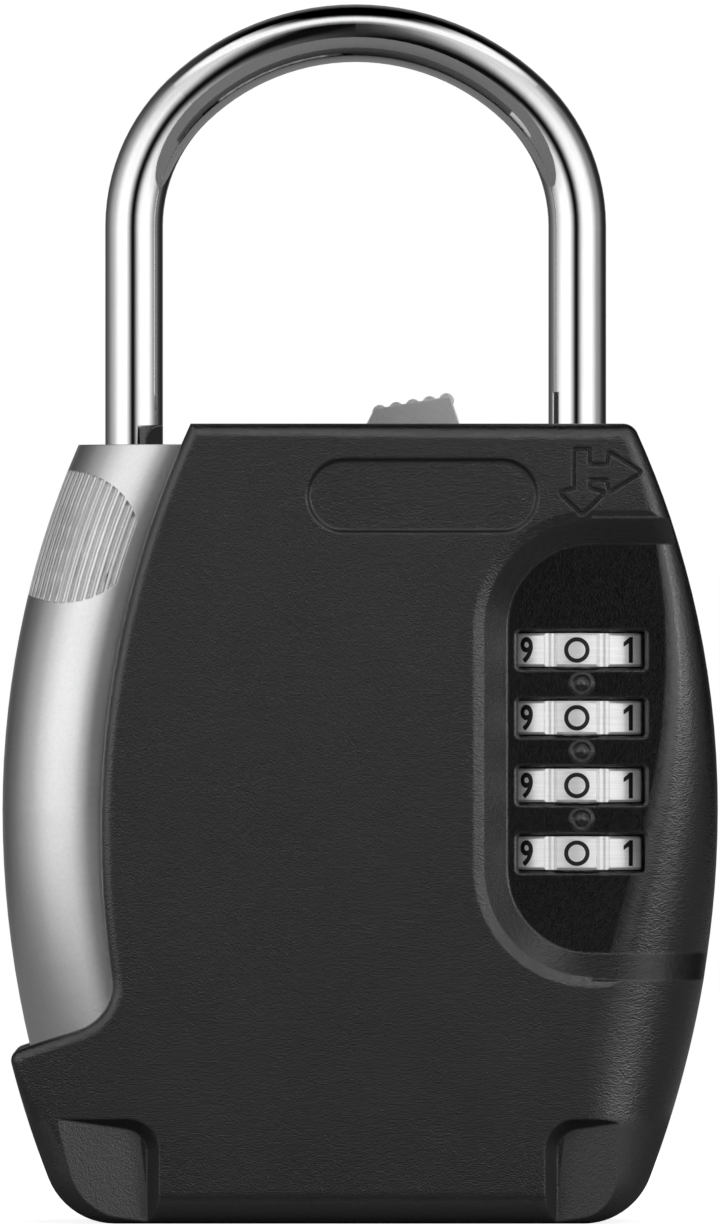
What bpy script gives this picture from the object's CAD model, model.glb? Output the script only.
# %% [markdown]
# # A key lock box, dressed for the studio
# The box hangs from its chrome shackle and keeps a key behind four number
# dials. Its casting, rods, screws and springs come ready made from the CAD
# model and stay exactly where CAD put them. Blender's share is what an eye
# meets first: the surfaces, the painted numbers, the light and the camera.
# We load the CAD parts, remember their overall size, and build around them.

# %% Load the finished CAD parts
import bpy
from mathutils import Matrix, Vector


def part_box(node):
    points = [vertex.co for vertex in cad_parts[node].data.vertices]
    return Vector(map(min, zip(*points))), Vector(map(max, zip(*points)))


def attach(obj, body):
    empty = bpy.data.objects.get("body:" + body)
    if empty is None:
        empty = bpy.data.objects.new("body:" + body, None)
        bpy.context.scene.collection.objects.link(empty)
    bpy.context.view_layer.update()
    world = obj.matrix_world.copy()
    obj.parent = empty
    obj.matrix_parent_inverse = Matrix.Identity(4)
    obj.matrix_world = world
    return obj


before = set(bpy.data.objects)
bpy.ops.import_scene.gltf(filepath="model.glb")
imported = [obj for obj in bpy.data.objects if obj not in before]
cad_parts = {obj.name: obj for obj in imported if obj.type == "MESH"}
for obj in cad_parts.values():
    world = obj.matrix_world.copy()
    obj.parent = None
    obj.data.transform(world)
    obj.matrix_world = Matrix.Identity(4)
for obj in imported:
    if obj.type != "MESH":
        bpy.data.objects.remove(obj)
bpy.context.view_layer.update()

# %% Tools for the lesson
import math
import bmesh
import bpy
from mathutils import Vector

scene = bpy.context.scene
MM = 0.001

# %% [markdown]
# ## The camera
# A catalogue picture of a small lock is taken from far away with a long lens,
# so that its sides stay parallel and nothing near looks bigger. An
# orthographic camera would do the same, but a real long lens also works when
# the camera walks round the object, so we use one four metres off. The lens
# length follows from the height that the picture has to cover.

# %% Place a long-lens camera
camera_distance = 4.0
picture_height = 154.35 * MM
picture_middle = Vector((0.06 * MM, 0, 76.7 * MM))
camera = bpy.data.objects.new("camera", bpy.data.cameras.new("camera"))
camera.data.sensor_width = 36
camera.data.lens = camera.data.sensor_width * camera_distance / picture_height
camera.data.clip_start, camera.data.clip_end = 0.1, 20
camera.location = picture_middle - Vector((0, camera_distance, 0))
camera.rotation_euler = (math.radians(90), 0, 0)
scene.collection.objects.link(camera)
scene.camera = camera
print("lens:", round(camera.data.lens), "mm")

# %% [markdown]
# ## The room that metal mirrors
# Chrome has no colour of its own: it shows the room. A studio for shiny things
# is therefore built out of white and black cards. We could hang mesh
# cards, but they would get in the way of other cameras, so the cards are
# painted on the World instead. Two angles describe any direction: the turn
# around the object and the height above the horizon. Each gets a colour ramp.
# The turn has a narrow black card where the camera stands, with broad white
# ones on both sides. The height has a white strip above and darkness overhead.

# %% A helper that lays stops on a colour ramp
def fill_ramp(node, stops, low, high):
    """Stops are (place, brightness) pairs; places run from low to high."""
    ramp = node.color_ramp
    ramp.interpolation = "LINEAR"
    while len(ramp.elements) > 1:
        ramp.elements.remove(ramp.elements[-1])
    for number, (place, grey) in enumerate(stops):
        position = (place - low) / (high - low)
        stop = ramp.elements[0] if number == 0 else ramp.elements.new(position)
        stop.position = position
        stop.color = (grey, grey, grey, 1)
    return node


def math_node(tree, operation, first, second=None):
    """A Math node joined to sockets or given plain numbers."""
    node = tree.nodes.new("ShaderNodeMath")
    node.operation = operation
    for socket, value in zip(node.inputs, (first, second)):
        if isinstance(value, (int, float)):
            socket.default_value = value
        elif value is not None:
            tree.links.new(value, socket)
    return node.outputs[0]


# %% Turn the view direction into two angles
world = bpy.data.worlds.new("studio")
scene.world = world
world.use_nodes = True
room = world.node_tree
room.nodes.clear()
direction = room.nodes.new("ShaderNodeSeparateXYZ")
room.links.new(room.nodes.new("ShaderNodeTexCoord").outputs["Generated"], direction.inputs[0])
towards_camera = math_node(room, "MULTIPLY", direction.outputs["Y"], -1)
turn = math_node(room, "ARCTAN2", direction.outputs["X"], towards_camera)
turn = math_node(room, "ADD", math_node(room, "DIVIDE", turn, 2 * math.pi), 0.5)
rise = math_node(room, "ARCSINE", direction.outputs["Z"])
rise = math_node(room, "ADD", math_node(room, "DIVIDE", rise, math.pi), 0.5)

# %% Paint the cards along the two angles
around = fill_ramp(room.nodes.new("ShaderNodeValToRGB"), [
    (-180, 0.25), (-163, 0.2), (-150, 0.05), (-120, 0.16), (-104, 0.36), (-86, 0.6), (-70, 1.05),
    (-60, 1.3), (-31, 1.25), (-24, 0.85), (-17, 0.4), (-12, 0.1), (-8, 0.005), (-1, 0.005), (4, 0.12),
    (13, 0.65), (20, 1.05), (33, 1.3), (58, 1.25), (68, 0.9), (78, 0.5), (84, 0.37), (100, 0.25),
    (113, 0.06), (130, 0.02), (150, 0.03), (163, 0.15), (180, 0.25)], -180, 180)
height = fill_ramp(room.nodes.new("ShaderNodeValToRGB"), [
    (-90, 0.05), (-50, 0.1), (-32, 0.25), (-18, 0.5), (-8, 0.9), (0, 1.0), (22, 0.85), (38, 0.6), (48, 0.25),
    (58, 0.0)], -90, 90)
strip = fill_ramp(room.nodes.new("ShaderNodeValToRGB"), [
    (36, 0.0), (46, 0.35), (52, 1.0), (62, 1.15), (67, 0.7), (73, 0.1), (78, 0.0)], -90, 90)
strip_reach = fill_ramp(room.nodes.new("ShaderNodeValToRGB"), [
    (-110, 0.0), (-85, 1.0), (85, 1.0), (110, 0.0)], -180, 180)
for node, angle in ((around, turn), (height, rise), (strip, rise), (strip_reach, turn)):
    room.links.new(angle, node.inputs["Fac"])
cards = math_node(room, "MULTIPLY", around.outputs["Color"], height.outputs["Color"])
top_card = math_node(room, "MULTIPLY", strip.outputs["Color"], strip_reach.outputs["Color"])
glow = math_node(room, "ADD", cards, top_card)

# %% Show plain white to the camera and the cards to everything else
room_light = room.nodes.new("ShaderNodeBackground")
room.links.new(glow, room_light.inputs["Color"])
plain_white = room.nodes.new("ShaderNodeBackground")
plain_white.inputs["Color"].default_value = (1, 1, 1, 1)
plain_white.inputs["Strength"].default_value = 1.0
choose = room.nodes.new("ShaderNodeMixShader")
room.links.new(room.nodes.new("ShaderNodeLightPath").outputs["Is Camera Ray"], choose.inputs["Fac"])
room.links.new(room_light.outputs[0], choose.inputs[1])
room.links.new(plain_white.outputs[0], choose.inputs[2])
room.links.new(choose.outputs[0], room.nodes.new("ShaderNodeOutputWorld").inputs["Surface"])
scene.view_settings.view_transform = "Standard"
print("world nodes:", len(room.nodes))

# %% [markdown]
# ## Soft lamps
# The painted room gives reflections. A few large area lamps add body to the
# matt parts: one over the front, one from each side and one behind, so that
# the back of the box isn't a black hole when we walk round it. They are kept
# out of mirror reflections, which would otherwise show their square edges.
# Light linking lets a lamp shine on chosen pieces only, so that chrome never
# sees it. A small lamp above the camera draws the thin bright line along the
# top edge of the black case, another draws the sheen down its rounded right
# side, and a third reaches into the windows and whitens the number wheels.

# %% Hang the lamps
def hang_lamp(name, place, size, power):
    """A square soft lamp that faces the middle of the box."""
    lamp = bpy.data.objects.new(name, bpy.data.lights.new(name, "AREA"))
    lamp.data.size = size
    lamp.data.energy = power
    lamp.location = place
    lamp.rotation_euler = (picture_middle - Vector(place)).to_track_quat("-Z", "Y").to_euler()
    lamp.visible_glossy = False
    lamp.visible_camera = False
    scene.collection.objects.link(lamp)
    return lamp


hang_lamp("top_lamp", (0.0, -0.5, 0.9), 0.5, 2.0)
hang_lamp("left_lamp", (-0.8, -0.6, 0.3), 0.5, 0.7)
hang_lamp("right_lamp", (0.8, -0.6, 0.3), 0.5, 0.7)
hang_lamp("back_lamp", (0.3, 0.9, 0.6), 0.6, 5.0)
wheel_names = ["dial_wheel_%d" % number for number in range(1, 5)]
for name, place, size, power, in_gloss, lit in (
        ("edge_lamp", (0.0, -1.35, 0.8), 0.2, 1.6, True, ["front_cover", "rear_cover"]),
        ("round_lamp", (1.1, -0.9, 0.15), 0.3, 1.2, True, ["front_cover", "rear_cover"]),
        ("wheel_lamp", (0.35, -1.5, 0.2), 0.3, 6.0, False, wheel_names)):
    lamp = hang_lamp(name, place, size, power)
    lamp.visible_glossy = in_gloss
    receivers = bpy.data.collections.new("lit_by_" + name)
    for node in lit:
        receivers.objects.link(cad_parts[node])
    lamp.light_linking.receiver_collection = receivers

# %% [markdown]
# ## The floor
# The object stands on a plain pale table. A circle filled with one face is
# enough, made with a bmesh operator. To melt into the white background it
# glows a little for the camera, and keeps a faint shadow where the box
# stands. To reflections and bounced light it is a dim grey, or it would fill
# every downward slope of the black case. Seen from below it is clear, so a
# low camera isn't blocked.

# %% Make the pale table
floor_mesh = bpy.data.meshes.new("table")
circle = bmesh.new()
bmesh.ops.create_circle(circle, cap_ends=True, segments=96, radius=0.5)
circle.to_mesh(floor_mesh)
circle.free()
floor = bpy.data.objects.new("table", floor_mesh)
scene.collection.objects.link(floor)

# %% Give the table its finish
pale = bpy.data.materials.new("pale_table")
pale.use_nodes = True
tree = pale.node_tree
tree.nodes.clear()
paper = tree.nodes.new("ShaderNodeBsdfDiffuse")
paper.inputs["Color"].default_value = (0.4, 0.4, 0.4, 1)
dim = tree.nodes.new("ShaderNodeBsdfDiffuse")
dim.inputs["Color"].default_value = (0.24, 0.24, 0.24, 1)
shine = tree.nodes.new("ShaderNodeEmission")
shine.inputs["Strength"].default_value = 0.86
lit = tree.nodes.new("ShaderNodeAddShader")
tree.links.new(paper.outputs[0], lit.inputs[0])
tree.links.new(shine.outputs[0], lit.inputs[1])
path = tree.nodes.new("ShaderNodeLightPath")
for_camera = tree.nodes.new("ShaderNodeMixShader")
tree.links.new(path.outputs["Is Camera Ray"], for_camera.inputs["Fac"])
tree.links.new(dim.outputs[0], for_camera.inputs[1])
tree.links.new(lit.outputs[0], for_camera.inputs[2])
clear = tree.nodes.new("ShaderNodeBsdfTransparent")
one_sided = tree.nodes.new("ShaderNodeMixShader")
tree.links.new(tree.nodes.new("ShaderNodeNewGeometry").outputs["Backfacing"], one_sided.inputs["Fac"])
tree.links.new(for_camera.outputs[0], one_sided.inputs[1])
tree.links.new(clear.outputs[0], one_sided.inputs[2])
tree.links.new(one_sided.outputs[0], tree.nodes.new("ShaderNodeOutputMaterial").inputs["Surface"])
floor_mesh.materials.append(pale)
print("table normal points up:", floor_mesh.polygons[0].normal.z > 0)

# %% [markdown]
# ## Effects that several finishes share
# Cast paint, satin silver and stamped steel differ in colour, but all have
# grain, softened corners, bright rubbed edges and the dull patches that
# fingers leave. Each effect is one node group with its own inputs, so that it
# is built once and tuned in every finish. All patterns read Object
# coordinates: a CAD node's object sits at the origin, so a pattern has its
# size in metres and stays with its part when a joint moves it.

# %% A helper that starts a node group
def new_group(name, inputs, outputs):
    """A shader node group with named inputs (label, default) and outputs (label, kind)."""
    group = bpy.data.node_groups.new(name, "ShaderNodeTree")
    for label, default in inputs:
        kind = "NodeSocketVector" if isinstance(default, tuple) else "NodeSocketFloat"
        group.interface.new_socket(label, in_out="INPUT", socket_type=kind).default_value = default
    for label, kind in outputs:
        group.interface.new_socket(label, in_out="OUTPUT", socket_type=kind)
    return group, group.nodes.new("NodeGroupInput"), group.nodes.new("NodeGroupOutput")


def stretch(tree, value, low, high, to_low=0.0, to_high=1.0):
    """A clamped Map Range node on a value."""
    node = tree.nodes.new("ShaderNodeMapRange")
    tree.links.new(value, node.inputs["Value"])
    for label, number in (("From Min", low), ("From Max", high), ("To Min", to_low), ("To Max", to_high)):
        node.inputs[label].default_value = number
    return node.outputs["Result"]


# %% [markdown]
# ### Grain
# Powder coat is sprayed as dust and melts into a fine orange-peel skin. Two
# noises make it: one for the single grains, and a wider one that lifts and
# lowers whole patches. The group hands out a height for bump and a speckle
# for colour.

# %% Build the grain group
grain_group, inside, outside = new_group(
    "grain", [("Grains per metre", 3600.0), ("Patches per metre", 900.0)],
    [("Height", "NodeSocketFloat"), ("Speckle", "NodeSocketFloat")])
place = grain_group.nodes.new("ShaderNodeTexCoord").outputs["Object"]
grains = []
for label, detail in (("Grains per metre", 3.0), ("Patches per metre", 1.0)):
    noise = grain_group.nodes.new("ShaderNodeTexNoise")
    noise.inputs["Detail"].default_value = detail
    grain_group.links.new(place, noise.inputs["Vector"])
    grain_group.links.new(inside.outputs[label], noise.inputs["Scale"])
    grains.append(noise.outputs["Fac"])
mixed = math_node(grain_group, "ADD", math_node(grain_group, "MULTIPLY", grains[0], 0.7),
                  math_node(grain_group, "MULTIPLY", grains[1], 0.3))
grain_group.links.new(mixed, outside.inputs["Height"])
grain_group.links.new(stretch(grain_group, mixed, 0.38, 0.62), outside.inputs["Speckle"])

# %% [markdown]
# ### Softened corners
# No real casting has a knife edge. The Bevel node bends the shading over a
# given radius where two faces meet, and catches the thin lines of light that
# make recesses and rims readable, without touching the CAD mesh.

# %% Build the corner group
corner_group, inside, outside = new_group(
    "soft_corners", [("Radius", 0.0003)], [("Normal", "NodeSocketVector")])
bevel = corner_group.nodes.new("ShaderNodeBevel")
bevel.samples = 4
corner_group.links.new(inside.outputs["Radius"], bevel.inputs["Radius"])
corner_group.links.new(bevel.outputs["Normal"], outside.inputs["Normal"])

# %% [markdown]
# ### Rubbed edges
# Where the softened normal and the true normal disagree there is an edge.
# Their dot product gives a mask, and noise breaks it up, since wear is never
# an even line.

# %% Build the wear group
wear_group, inside, outside = new_group(
    "rubbed_edges", [("Width", 0.0004), ("Patchiness", 700.0), ("Amount", 1.0)],
    [("Mask", "NodeSocketFloat")])
soft = wear_group.nodes.new("ShaderNodeBevel")
soft.samples = 4
wear_group.links.new(inside.outputs["Width"], soft.inputs["Radius"])
match = wear_group.nodes.new("ShaderNodeVectorMath")
match.operation = "DOT_PRODUCT"
wear_group.links.new(soft.outputs["Normal"], match.inputs[0])
wear_group.links.new(wear_group.nodes.new("ShaderNodeNewGeometry").outputs["Normal"], match.inputs[1])
edge = stretch(wear_group, match.outputs["Value"], 0.99, 0.85)
patches = wear_group.nodes.new("ShaderNodeTexNoise")
wear_group.links.new(wear_group.nodes.new("ShaderNodeTexCoord").outputs["Object"], patches.inputs["Vector"])
wear_group.links.new(inside.outputs["Patchiness"], patches.inputs["Scale"])
broken = math_node(wear_group, "MULTIPLY", edge, stretch(wear_group, patches.outputs["Fac"], 0.4, 0.62))
worn = math_node(wear_group, "MULTIPLY", broken, inside.outputs["Amount"])
wear_group.links.new(worn, outside.inputs["Mask"])

# %% [markdown]
# ### Tool lines
# Brushed, drawn or turned metal carries fine parallel lines. Noise that is
# squeezed hard along one axis gives them; each finish chooses the axis
# through the Squeeze input.

# %% Build the tool-line group
line_group, inside, outside = new_group(
    "tool_lines", [("Squeeze", (1.0, 1.0, 1.0))],
    [("Height", "NodeSocketFloat"), ("Streak", "NodeSocketFloat")])
squeeze = line_group.nodes.new("ShaderNodeVectorMath")
squeeze.operation = "MULTIPLY"
line_group.links.new(line_group.nodes.new("ShaderNodeTexCoord").outputs["Object"], squeeze.inputs[0])
line_group.links.new(inside.outputs["Squeeze"], squeeze.inputs[1])
lines = line_group.nodes.new("ShaderNodeTexNoise")
lines.inputs["Scale"].default_value = 1.0
lines.inputs["Detail"].default_value = 4.0
line_group.links.new(squeeze.outputs["Vector"], lines.inputs["Vector"])
line_group.links.new(lines.outputs["Fac"], outside.inputs["Height"])
line_group.links.new(stretch(line_group, lines.outputs["Fac"], 0.35, 0.65), outside.inputs["Streak"])

# %% [markdown]
# ### Handling marks
# Hands leave broad, faint patches that change only the gloss. A slow noise
# of a centimetre or two is all it takes.

# %% Build the handling group
hand_group, inside, outside = new_group(
    "handling", [("Marks per metre", 90.0)], [("Dullness", "NodeSocketFloat")])
marks = hand_group.nodes.new("ShaderNodeTexNoise")
marks.inputs["Detail"].default_value = 4.0
hand_group.links.new(hand_group.nodes.new("ShaderNodeTexCoord").outputs["Object"], marks.inputs["Vector"])
hand_group.links.new(inside.outputs["Marks per metre"], marks.inputs["Scale"])
hand_group.links.new(stretch(hand_group, marks.outputs["Fac"], 0.3, 0.7), outside.inputs["Dullness"])
print("node groups:", [group.name for group in bpy.data.node_groups])


# %% [markdown]
# ## One recipe for every finish
# Each finish is a Principled shader fed by the groups: two colours mixed by a
# pattern, a third one on the rubbed edges, a roughness that wanders between
# two values, and a bump laid over the softened corners. The recipe below only
# joins these. The numbers that are even all over, such as metallic, are set
# on the shader's own sockets.

# %% Helpers that mix a finish
def place_group(tree, group, **settings):
    """A node group in a material, with its inputs set by label (underscores for spaces)."""
    node = tree.nodes.new("ShaderNodeGroup")
    node.node_tree = group
    for label, value in settings.items():
        node.inputs[label.replace("_", " ")].default_value = value
    return node


def mix_colours(tree, factor, first, second):
    """Two colours (sockets or plain RGB) blended by a factor."""
    node = tree.nodes.new("ShaderNodeMix")
    node.data_type = "RGBA"
    tree.links.new(factor, node.inputs["Factor"])
    for socket, colour in ((node.inputs[6], first), (node.inputs[7], second)):
        if isinstance(colour, tuple):
            socket.default_value = (*colour, 1)
        else:
            tree.links.new(colour, socket)
    return node.outputs[2]


def finish_material(name, pattern, dark, light, rubbed, roughness, bump, corner, metallic=1.0, wear=0.5,
                    mirror=0.5):
    """A Principled material from the shared effects and a pattern, a function that places its group.

    The two roughness values are for clean and handled places. A wear of 0 turns the rubbed edges off.
    """
    material = bpy.data.materials.new(name)
    material.use_nodes = True
    tree = material.node_tree
    shader = tree.nodes["Principled BSDF"]
    shader.inputs["Metallic"].default_value = metallic
    shader.inputs["Specular IOR Level"].default_value = mirror
    texture = pattern(tree)
    colour = mix_colours(tree, texture.outputs[1], dark, light)
    edges = place_group(tree, wear_group, Width=corner * 1.3, Amount=wear)
    colour = mix_colours(tree, edges.outputs["Mask"], colour, rubbed)
    tree.links.new(colour, shader.inputs["Base Color"])
    hands = place_group(tree, hand_group)
    gloss = stretch(tree, hands.outputs["Dullness"], 0, 1, *roughness)
    tree.links.new(gloss, shader.inputs["Roughness"])
    relief = tree.nodes.new("ShaderNodeBump")
    relief.inputs["Distance"].default_value = bump
    relief.inputs["Strength"].default_value = 1.0
    tree.links.new(texture.outputs["Height"], relief.inputs["Height"])
    soft_edges = place_group(tree, corner_group, Radius=corner)
    tree.links.new(soft_edges.outputs["Normal"], relief.inputs["Normal"])
    tree.links.new(relief.outputs["Normal"], shader.inputs["Normal"])
    return material


def paint(material, *nodes):
    """Put a finish on CAD nodes by name."""
    for name in nodes:
        for material_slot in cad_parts[name].material_slots:
            material_slot.material = material
    print(material.name, "on", ", ".join(nodes))


# %% [markdown]
# ## Black powder coat on the case
# The case is a zinc casting under matt black powder. The pigment is nearly
# pure black: the charcoal tone is all gloss, thrown by the grain in many
# directions. So the colour is kept very dark and the gloss does the work.
# The floor of the dial panel is masked off and sprayed thinner, so it is
# smoother and looks blacker. It lies at one depth and faces straight ahead,
# which two masks pick out: a narrow band of depth, and a normal test. Dust
# gathers in the two scoops at the bottom corners, so there the same kind of
# mask adds roughness: low down, and on anything that isn't flat.

# %% Finish the case
def fine_grain(tree):
    return place_group(tree, grain_group, Grains_per_metre=4400.0, Patches_per_metre=1500.0)


black_coat = finish_material(
    "black_powder_coat", fine_grain, dark=(0.0, 0.0, 0.0), light=(0.009, 0.009, 0.0092),
    rubbed=(0.03, 0.03, 0.03), roughness=(0.2, 0.24), bump=0.000095, corner=0.0004, metallic=0.0, wear=0.5,
    mirror=1.0)
paint(black_coat, "front_cover", "rear_cover")

# %% Smooth the floor of the dial panel and dull the corner scoops
panel_step = 3.0 * MM
scoop_fade = (14 * MM, 12 * MM)
cover_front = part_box("front_cover")[0].y
panel_depth = cover_front + panel_step
coat = black_coat.node_tree
spot = coat.nodes.new("ShaderNodeSeparateXYZ")
coat.links.new(coat.nodes.new("ShaderNodeTexCoord").outputs["Object"], spot.inputs[0])
away = math_node(coat, "ABSOLUTE", math_node(coat, "SUBTRACT", spot.outputs["Y"], panel_depth))
facing = coat.nodes.new("ShaderNodeSeparateXYZ")
coat.links.new(coat.nodes.new("ShaderNodeNewGeometry").outputs["Normal"], facing.inputs[0])
panel_mask = math_node(coat, "MULTIPLY", stretch(coat, away, 0.6 * MM, 0.3 * MM),
                       stretch(coat, facing.outputs["Y"], -0.9, -0.97))
coat_shader = coat.nodes["Principled BSDF"]
coat_relief = coat_shader.inputs["Normal"].links[0].from_node
sprayed = coat_shader.inputs["Roughness"].links[0].from_socket
smooth = math_node(coat, "SUBTRACT", sprayed, math_node(coat, "MULTIPLY", panel_mask, 0.08))
low_corner = math_node(coat, "MULTIPLY", stretch(coat, spot.outputs["Z"], *scoop_fade),
                       stretch(coat, facing.outputs["Y"], -0.985, -0.95))
rough = math_node(coat, "ADD", smooth, math_node(coat, "MULTIPLY", low_corner, 0.35))
coat.links.new(rough, coat_shader.inputs["Roughness"])
coat.links.new(stretch(coat, panel_mask, 0, 1, 1.0, 0.25), coat_relief.inputs["Strength"])
print("panel floor depth:", round(panel_depth / MM, 2), "mm")

# %% [markdown]
# ## Satin silver on the key tray
# The tray is the same kind of casting under a smooth metallic lacquer. A
# metal with medium roughness turns the white cards into the long soft
# gradient that runs along its bowed side. Its grain is much finer.

# %% Finish the tray
def silk_grain(tree):
    return place_group(tree, grain_group, Grains_per_metre=9000.0, Patches_per_metre=2500.0)


silver_lacquer = finish_material(
    "silver_lacquer", silk_grain, dark=(0.72, 0.72, 0.725), light=(0.8, 0.8, 0.805), rubbed=(0.9, 0.9, 0.9),
    roughness=(0.27, 0.31), bump=0.000006, corner=0.00025, metallic=1.0, wear=0.0)
paint(silver_lacquer, "tray")

# %% [markdown]
# ## Chrome on the shackle
# The shackle is a polished steel rod under bright chrome. It is almost a
# mirror, so its tool lines are barely there: just enough to keep the black
# and white bands from looking drawn with a ruler.

# %% Finish the shackle
def polish_lines(tree):
    return place_group(tree, line_group, Squeeze=(6000.0, 6000.0, 300.0))


bright_chrome = finish_material(
    "bright_chrome", polish_lines, dark=(0.82, 0.82, 0.83), light=(0.88, 0.88, 0.89),
    rubbed=(0.93, 0.93, 0.93),
    roughness=(0.02, 0.045), bump=0.0000004, corner=0.00015, metallic=1.0, wear=0.3)
paint(bright_chrome, "shackle")

# %% [markdown]
# ## Satin nickel on the knob
# The thumb knob is tumbled and plated, so it is softer than chrome and its
# ribs are worn bright on top. The thumb slides off towards +X, so that end
# is rubbed brighter than the other.

# %% Finish the knob
satin_nickel = finish_material(
    "satin_nickel", silk_grain, dark=(0.5, 0.5, 0.505), light=(0.62, 0.62, 0.62), rubbed=(0.95, 0.95, 0.95),
    roughness=(0.36, 0.46), bump=0.00003, corner=0.0003, metallic=1.0, wear=0.9)
knob_low, knob_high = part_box("release_knob")
knob = satin_nickel.node_tree
across = knob.nodes.new("ShaderNodeSeparateXYZ")
knob.links.new(knob.nodes.new("ShaderNodeTexCoord").outputs["Object"], across.inputs[0])
thumbed = stretch(knob, across.outputs["X"], knob_low.x, knob_high.x)
worn_colour = knob.nodes["Principled BSDF"].inputs["Base Color"].links[0].from_socket
knob.links.new(mix_colours(knob, math_node(knob, "MULTIPLY", thumbed, 0.8), worn_colour, (0.97, 0.97, 0.97)),
               knob.nodes["Principled BSDF"].inputs["Base Color"])
paint(satin_nickel, "release_knob")

# %% [markdown]
# ## Bright nickel on the number wheels
# The wheels are turned on a lathe, so their lines run round the axis. In
# Object coordinates that means squeezing the noise along Z.

# %% Finish the number wheels
def turned_lines(tree):
    return place_group(tree, line_group, Squeeze=(150.0, 150.0, 7000.0))


wheel_nickel = finish_material(
    "wheel_nickel", turned_lines, dark=(0.86, 0.86, 0.86), light=(0.95, 0.95, 0.95),
    rubbed=(0.97, 0.97, 0.97),
    roughness=(0.28, 0.36), bump=0.000003, corner=0.0001, metallic=0.55, wear=0.0)
paint(wheel_nickel, *wheel_names)

# %% [markdown]
# ## Steel, wire, screws and brass inside
# The lock work is seen only when the tray swings out, but it has its own
# metals: zinc-plated pressings with rolling lines, drawn spring wire, dark
# oiled screws, and a yellow bush that the tray turns on.

# %% Finish the lock work
def rolled_lines(tree):
    return place_group(tree, line_group, Squeeze=(2500.0, 2500.0, 120.0))


def drawn_lines(tree):
    return place_group(tree, line_group, Squeeze=(2500.0, 2500.0, 2500.0))


lock_steel = finish_material(
    "plated_steel", rolled_lines, dark=(0.42, 0.42, 0.43), light=(0.58, 0.58, 0.6), rubbed=(0.8, 0.8, 0.8),
    roughness=(0.28, 0.45), bump=0.000006, corner=0.00015, wear=0.6)
paint(lock_steel, "latch_slider", "fence_bar", "pawl_cover", "left_pawl", "right_pawl", "lock_frame",
      "dial_spindle", "spindle_spacer", "tray_catch", "tray_pivot_pin", "shackle_sleeves",
      *["code_cam_%d" % number for number in range(1, 5)])
spring_wire = finish_material(
    "spring_wire", drawn_lines, dark=(0.3, 0.3, 0.31), light=(0.5, 0.5, 0.52), rubbed=(0.7, 0.7, 0.7),
    roughness=(0.25, 0.35), bump=0.000004, corner=0.00008, wear=0.3)
paint(spring_wire, "left_pawl_spring", "right_pawl_spring", "knob_spring", "slider_spring", "spindle_spring",
      "detent_spring")
screw_steel = finish_material(
    "oiled_screw_steel", silk_grain, dark=(0.16, 0.16, 0.165), light=(0.28, 0.28, 0.285),
    rubbed=(0.6, 0.6, 0.6),
    roughness=(0.3, 0.45), bump=0.00001, corner=0.00015, wear=0.8)
paint(screw_steel, "housing_screws", "keeper_screws", "frame_screws")
bush_brass = finish_material(
    "bush_brass", turned_lines, dark=(0.6, 0.43, 0.2), light=(0.78, 0.6, 0.32), rubbed=(0.95, 0.8, 0.5),
    roughness=(0.2, 0.35), bump=0.000005, corner=0.00012, wear=0.4)
paint(bush_brass, "tray_bush")

# %% [markdown]
# ## Numbers on the wheels
# Each wheel carries ten black figures, 0 to 9, on its rim. A text object can
# draw a figure, but it is flat. So the text becomes a mesh, gets sliced into
# narrow upright strips, and each of its points is rolled onto the wheel: how
# far it lies to the side becomes an angle. The flat face is first pushed into
# a slab, so the paint has a thickness, most of it sunk in the metal like
# filled engraving. Nought is a plain ring: two circles and a bridge. The
# font's one is a bare bar, so that figure gets its own outline with a flag.

# %% Measure a wheel
wheel_low, wheel_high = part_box("dial_wheel_1")
wheel_axis = (wheel_low + wheel_high) / 2
wheel_radius = (wheel_high.y - wheel_low.y) / 2
land_height = 4.2 * MM
figure_height = 3.25 * MM
figure_proud = 0.03 * MM
figure_depth = 0.15 * MM
figure_narrowing = 0.92
nought_radii = (1.6, 1.08)
strip_width = 0.25
turn_per_figure = 36
print("wheel radius in mm:", round(wheel_radius / MM, 2))


# %% Draw one figure flat, centred on the origin
def flat_figure(figure):
    """A bmesh of one figure in the XY plane, figure_height tall."""
    shape = bmesh.new()
    if figure == 0:
        for radius in nought_radii:
            bmesh.ops.create_circle(shape, segments=48, radius=radius * MM)
        bmesh.ops.bridge_loops(shape, edges=shape.edges[:])
        return shape
    if figure == 1:
        foot, heel, crest, brow, tip, chin, neck = [
            shape.verts.new((x * MM, y * MM, 0)) for x, y in (
                (0.3, -1.62), (0.95, -1.62), (0.95, 1.62), (0.45, 1.62), (-0.5, 0.95), (-0.5, 0.4),
                (0.3, 0.85))]
        for corners in ((foot, heel, crest, neck), (neck, crest, brow), (brow, tip, chin, neck)):
            shape.faces.new(corners)
        return shape
    letter = bpy.data.curves.new("figure", "FONT")
    letter.body = str(figure)
    letter.offset = 0.025
    letter.align_x = "CENTER"
    carrier = bpy.data.objects.new("figure", letter)
    scene.collection.objects.link(carrier)
    bpy.context.view_layer.update()
    drawn = bpy.data.meshes.new_from_object(carrier.evaluated_get(bpy.context.evaluated_depsgraph_get()))
    bpy.data.objects.remove(carrier)
    bpy.data.curves.remove(letter)
    shape.from_mesh(drawn)
    bpy.data.meshes.remove(drawn)
    low = Vector([min(vert.co[axis] for vert in shape.verts) for axis in range(3)])
    high = Vector([max(vert.co[axis] for vert in shape.verts) for axis in range(3)])
    bmesh.ops.translate(shape, verts=shape.verts, vec=-(low + high) / 2)
    size = figure_height / (high.y - low.y)
    bmesh.ops.scale(shape, verts=shape.verts, vec=(size * figure_narrowing, size, 1))
    return shape


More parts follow.
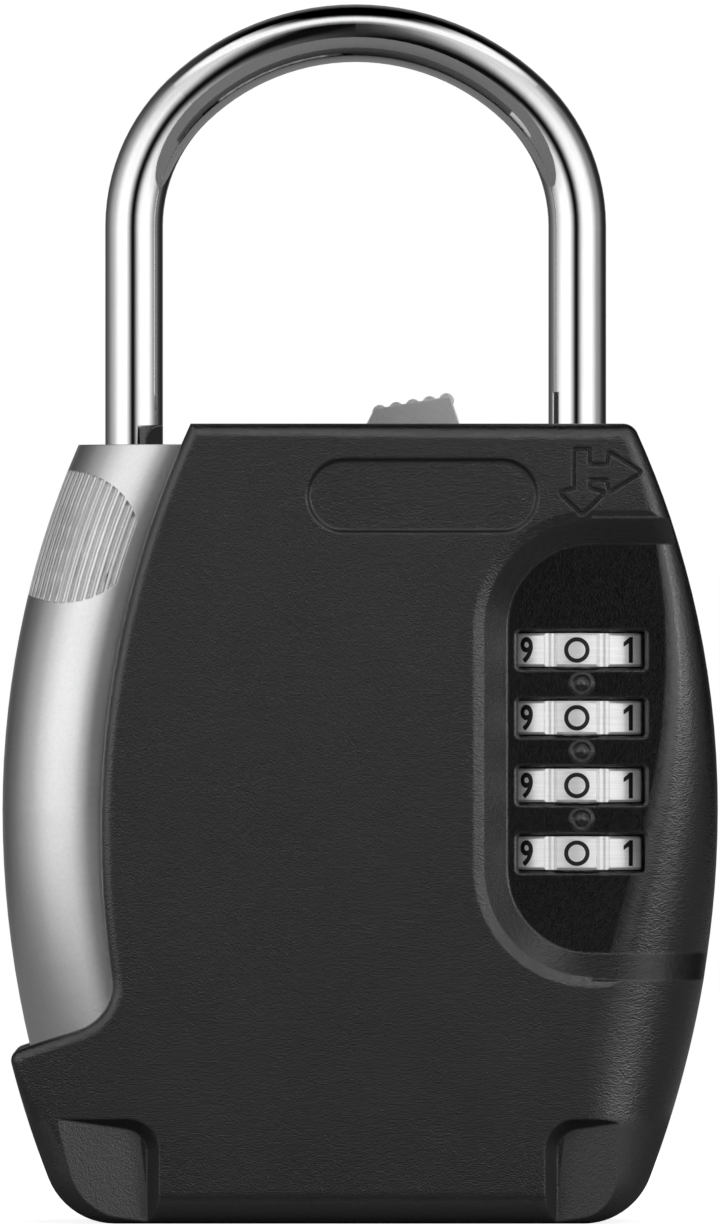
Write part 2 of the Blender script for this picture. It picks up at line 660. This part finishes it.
# %% Slice it, give it thickness and roll it on the wheel
def rolled_figure(figure, middle_height):
    """A bmesh of a figure wrapped on the wheel's rim at its own tenth of the turn."""
    shape = flat_figure(figure)
    bmesh.ops.remove_doubles(shape, verts=shape.verts, dist=1e-6)
    for step in range(-6, 7):
        everything = shape.verts[:] + shape.edges[:] + shape.faces[:]
        bmesh.ops.bisect_plane(shape, geom=everything, dist=1e-7, plane_co=(step * strip_width * MM, 0, 0),
                               plane_no=(1, 0, 0))
    pushed = bmesh.ops.extrude_face_region(shape, geom=shape.faces[:], use_keep_orig=True)["geom"]
    lifted = [item for item in pushed if isinstance(item, bmesh.types.BMVert)]
    bmesh.ops.translate(shape, verts=lifted, vec=(0, 0, figure_depth))
    facing = math.radians(turn_per_figure * figure - 90)
    for vert in shape.verts:
        reach = wheel_radius + figure_proud - figure_depth + vert.co.z
        angle = facing + vert.co.x / wheel_radius
        vert.co = (wheel_axis.x + reach * math.cos(angle), wheel_axis.y + reach * math.sin(angle),
                   middle_height + vert.co.y)
    bmesh.ops.recalc_face_normals(shape, faces=shape.faces)
    return shape


# %% [markdown]
# ### Filler paint
# The figures are engraved and filled with black enamel: glossy enough to
# show a glint at its rim, and slightly uneven, as wiped paint is.

# %% Mix the filler paint
black_filler = finish_material(
    "black_filler", silk_grain, dark=(0.004, 0.004, 0.004), light=(0.012, 0.012, 0.012),
    rubbed=(0.05, 0.05, 0.05),
    roughness=(0.3, 0.45), bump=0.00001, corner=0.00006, metallic=0.0, wear=0.2)

# %% Fill ten figures on every wheel
for number in range(1, 5):
    middle_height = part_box("dial_wheel_%d" % number)[1].z - land_height / 2
    figures = bpy.data.meshes.new("figures_%d" % number)
    gathered = bmesh.new()
    for figure in range(10):
        shape = rolled_figure(figure, middle_height)
        shape.to_mesh(figures)
        shape.free()
        gathered.from_mesh(figures)
    open_edges = [edge for edge in gathered.edges if len(edge.link_faces) != 2]
    gathered.to_mesh(figures)
    print("wheel", number, "figures:", len(gathered.faces), "faces, open edges:", len(open_edges))
    gathered.free()
    figures.materials.append(black_filler)
    ring = bpy.data.objects.new("figures_%d" % number, figures)
    scene.collection.objects.link(ring)
    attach(ring, "dial_%d" % number)
